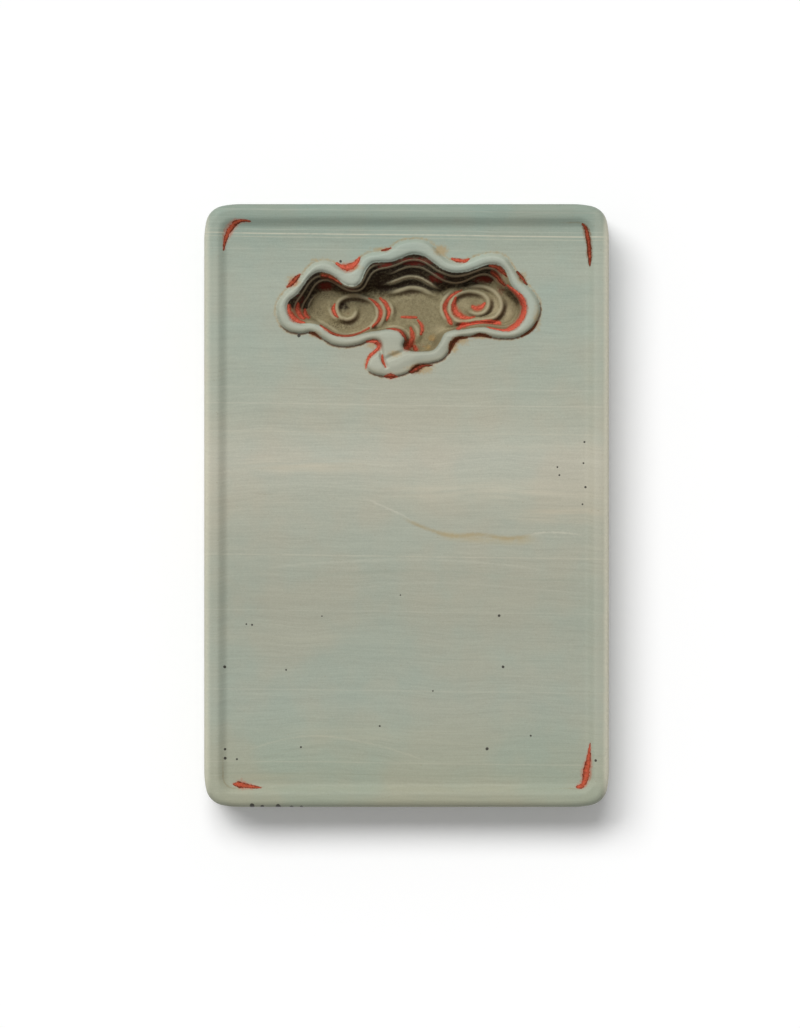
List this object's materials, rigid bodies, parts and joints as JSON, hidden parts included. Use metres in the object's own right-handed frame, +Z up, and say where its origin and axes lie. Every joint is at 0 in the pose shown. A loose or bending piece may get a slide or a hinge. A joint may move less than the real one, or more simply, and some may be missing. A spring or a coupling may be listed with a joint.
{
  "type": "ink stone",
  "caption": "Rectangular ink stone with a raised rim, a flat grinding field and a cloud-shaped ink pool inside a rolled lip, with dried red pigment left in its corners.",
  "frame": {"origin": "middle of the underside, at the level that the stone rests on", "axes": "+Y along the length towards the ink pool, +X across to the right seen from above, +Z up"},
  "size_m": [0.098, 0.146, 0.015],
  "materials": {
    "stone": "satin, finely bedded pale grey-green stone",
    "red_pigment": "matt, dried mineral pigment"
  },
  "bodies": {
    "root": {"stone_block": "stone", "red_pigment_rim_corners": "red_pigment", "red_pigment_lip_foot": "red_pigment", "red_pigment_left_terraces": "red_pigment", "red_pigment_right_terrace": "red_pigment", "red_pigment_left_whorl": "red_pigment", "red_pigment_right_whorl": "red_pigment", "red_pigment_tail": "red_pigment"}
  },
  "joints": []
}
